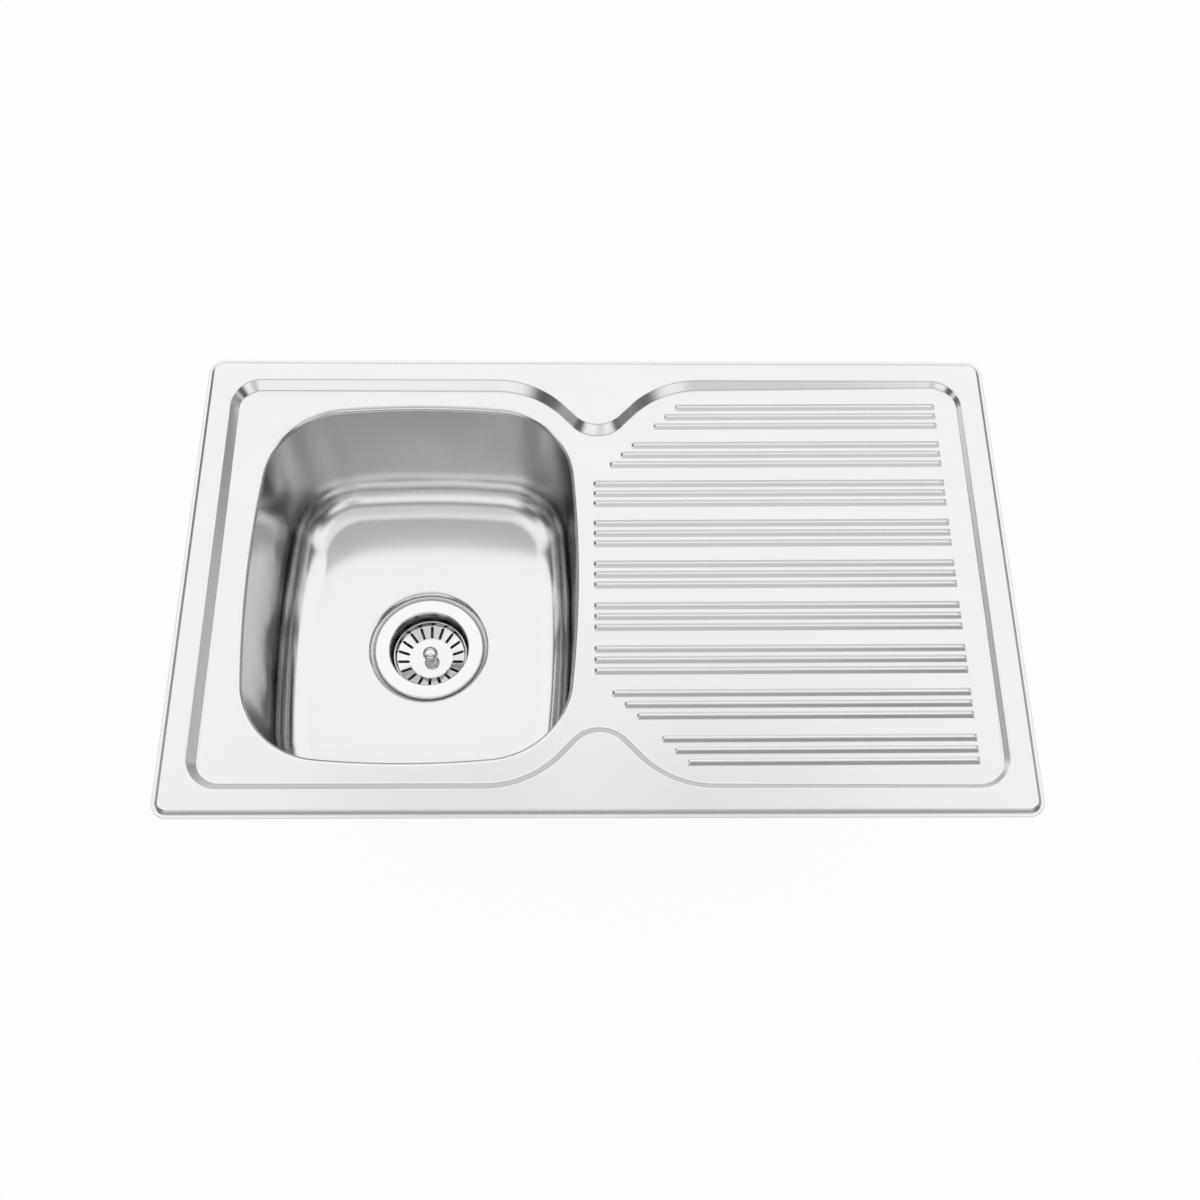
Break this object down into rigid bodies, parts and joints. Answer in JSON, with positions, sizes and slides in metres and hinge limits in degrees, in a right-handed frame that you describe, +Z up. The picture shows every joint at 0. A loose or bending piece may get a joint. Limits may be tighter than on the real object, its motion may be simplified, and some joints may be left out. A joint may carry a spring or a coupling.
{
  "type": "kitchen sink",
  "caption": "Inset stainless steel kitchen sink with a deep bowl and a ribbed drainer, a lift-out basket strainer in its waste and worktop clips under the rim.",
  "frame": {"origin": "middle of the sink's outline, on the worktop plane under the rim", "axes": "+X along the sink from bowl to drainer, +Y to the back, +Z up"},
  "size_m": [0.78, 0.48, 0.2683],
  "materials": {
    "brushed_stainless": "satin",
    "polished_stainless": "polished",
    "zinc_plated_steel": "zinc plated",
    "black_rubber": "matt",
    "white_plastic": "matt",
    "brass": "machined"
  },
  "bodies": {
    "sink": {"deck": "brushed_stainless", "bowl": "brushed_stainless", "rim_seal": "black_rubber", "bowl_pads": "black_rubber", "drainer_pad": "black_rubber", "clip_lugs": "zinc_plated_steel", "clip_nuts": "zinc_plated_steel", "waste_flange": "polished_stainless", "flange_gasket": "black_rubber", "body_gasket": "black_rubber", "waste_body": "white_plastic", "thread_insert": "brass", "centre_screw": "polished_stainless"},
    "strainer": {"strainer_basket": "polished_stainless", "basket_knob": "polished_stainless", "basket_pin": "polished_stainless", "stopper_seal": "black_rubber", "seal_washer": "polished_stainless", "retaining_ring": "polished_stainless"},
    "clip_screw_1": {"clip_screw_1": "zinc_plated_steel"},
    "clip_claw_1": {"clip_claw_1": "zinc_plated_steel"},
    "clip_screw_2": {"clip_screw_2": "zinc_plated_steel"},
    "clip_claw_2": {"clip_claw_2": "zinc_plated_steel"},
    "clip_screw_3": {"clip_screw_3": "zinc_plated_steel"},
    "clip_claw_3": {"clip_claw_3": "zinc_plated_steel"},
    "clip_screw_4": {"clip_screw_4": "zinc_plated_steel"},
    "clip_claw_4": {"clip_claw_4": "zinc_plated_steel"},
    "clip_screw_5": {"clip_screw_5": "zinc_plated_steel"},
    "clip_claw_5": {"clip_claw_5": "zinc_plated_steel"},
    "clip_screw_6": {"clip_screw_6": "zinc_plated_steel"},
    "clip_claw_6": {"clip_claw_6": "zinc_plated_steel"},
    "clip_screw_7": {"clip_screw_7": "zinc_plated_steel"},
    "clip_claw_7": {"clip_claw_7": "zinc_plated_steel"},
    "clip_screw_8": {"clip_screw_8": "zinc_plated_steel"},
    "clip_claw_8": {"clip_claw_8": "zinc_plated_steel"}
  },
  "joints": [
    {"name": "basket_lift", "type": "slide", "parent": "sink", "child": "strainer", "axis": [0, 0, 1], "range_m": [0, 0.06]},
    {"name": "clip_screw_1_rise", "type": "slide", "parent": "sink", "child": "clip_screw_1", "axis": [0, 0, 1], "range_m": [0, 0.012]},
    {"name": "clip_claw_1_turn", "type": "hinge", "parent": "clip_screw_1", "child": "clip_claw_1", "pos_m": [-0.27, -0.214, -0.0505], "axis": [0, 0, -1], "range_deg": [0, 90]},
    {"name": "clip_screw_2_rise", "type": "slide", "parent": "sink", "child": "clip_screw_2", "axis": [0, 0, 1], "range_m": [0, 0.012]},
    {"name": "clip_claw_2_turn", "type": "hinge", "parent": "clip_screw_2", "child": "clip_claw_2", "pos_m": [0, -0.214, -0.0505], "axis": [0, 0, -1], "range_deg": [0, 90]},
    {"name": "clip_screw_3_rise", "type": "slide", "parent": "sink", "child": "clip_screw_3", "axis": [0, 0, 1], "range_m": [0, 0.012]},
    {"name": "clip_claw_3_turn", "type": "hinge", "parent": "clip_screw_3", "child": "clip_claw_3", "pos_m": [0.27, -0.214, -0.0505], "axis": [0, 0, -1], "range_deg": [0, 90]},
    {"name": "clip_screw_4_rise", "type": "slide", "parent": "sink", "child": "clip_screw_4", "axis": [0, 0, 1], "range_m": [0, 0.012]},
    {"name": "clip_claw_4_turn", "type": "hinge", "parent": "clip_screw_4", "child": "clip_claw_4", "pos_m": [-0.27, 0.214, -0.0505], "axis": [0, 0, -1], "range_deg": [0, 90]},
    {"name": "clip_screw_5_rise", "type": "slide", "parent": "sink", "child": "clip_screw_5", "axis": [0, 0, 1], "range_m": [0, 0.012]},
    {"name": "clip_claw_5_turn", "type": "hinge", "parent": "clip_screw_5", "child": "clip_claw_5", "pos_m": [0, 0.214, -0.0505], "axis": [0, 0, -1], "range_deg": [0, 90]},
    {"name": "clip_screw_6_rise", "type": "slide", "parent": "sink", "child": "clip_screw_6", "axis": [0, 0, 1], "range_m": [0, 0.012]},
    {"name": "clip_claw_6_turn", "type": "hinge", "parent": "clip_screw_6", "child": "clip_claw_6", "pos_m": [0.27, 0.214, -0.0505], "axis": [0, 0, -1], "range_deg": [0, 90]},
    {"name": "clip_screw_7_rise", "type": "slide", "parent": "sink", "child": "clip_screw_7", "axis": [0, 0, 1], "range_m": [0, 0.012]},
    {"name": "clip_claw_7_turn", "type": "hinge", "parent": "clip_screw_7", "child": "clip_claw_7", "pos_m": [-0.364, 0, -0.0505], "axis": [0, 0, -1], "range_deg": [0, 90]},
    {"name": "clip_screw_8_rise", "type": "slide", "parent": "sink", "child": "clip_screw_8", "axis": [0, 0, 1], "range_m": [0, 0.012]},
    {"name": "clip_claw_8_turn", "type": "hinge", "parent": "clip_screw_8", "child": "clip_claw_8", "pos_m": [0.364, 0, -0.0505], "axis": [0, 0, -1], "range_deg": [0, 90]}
  ]
}
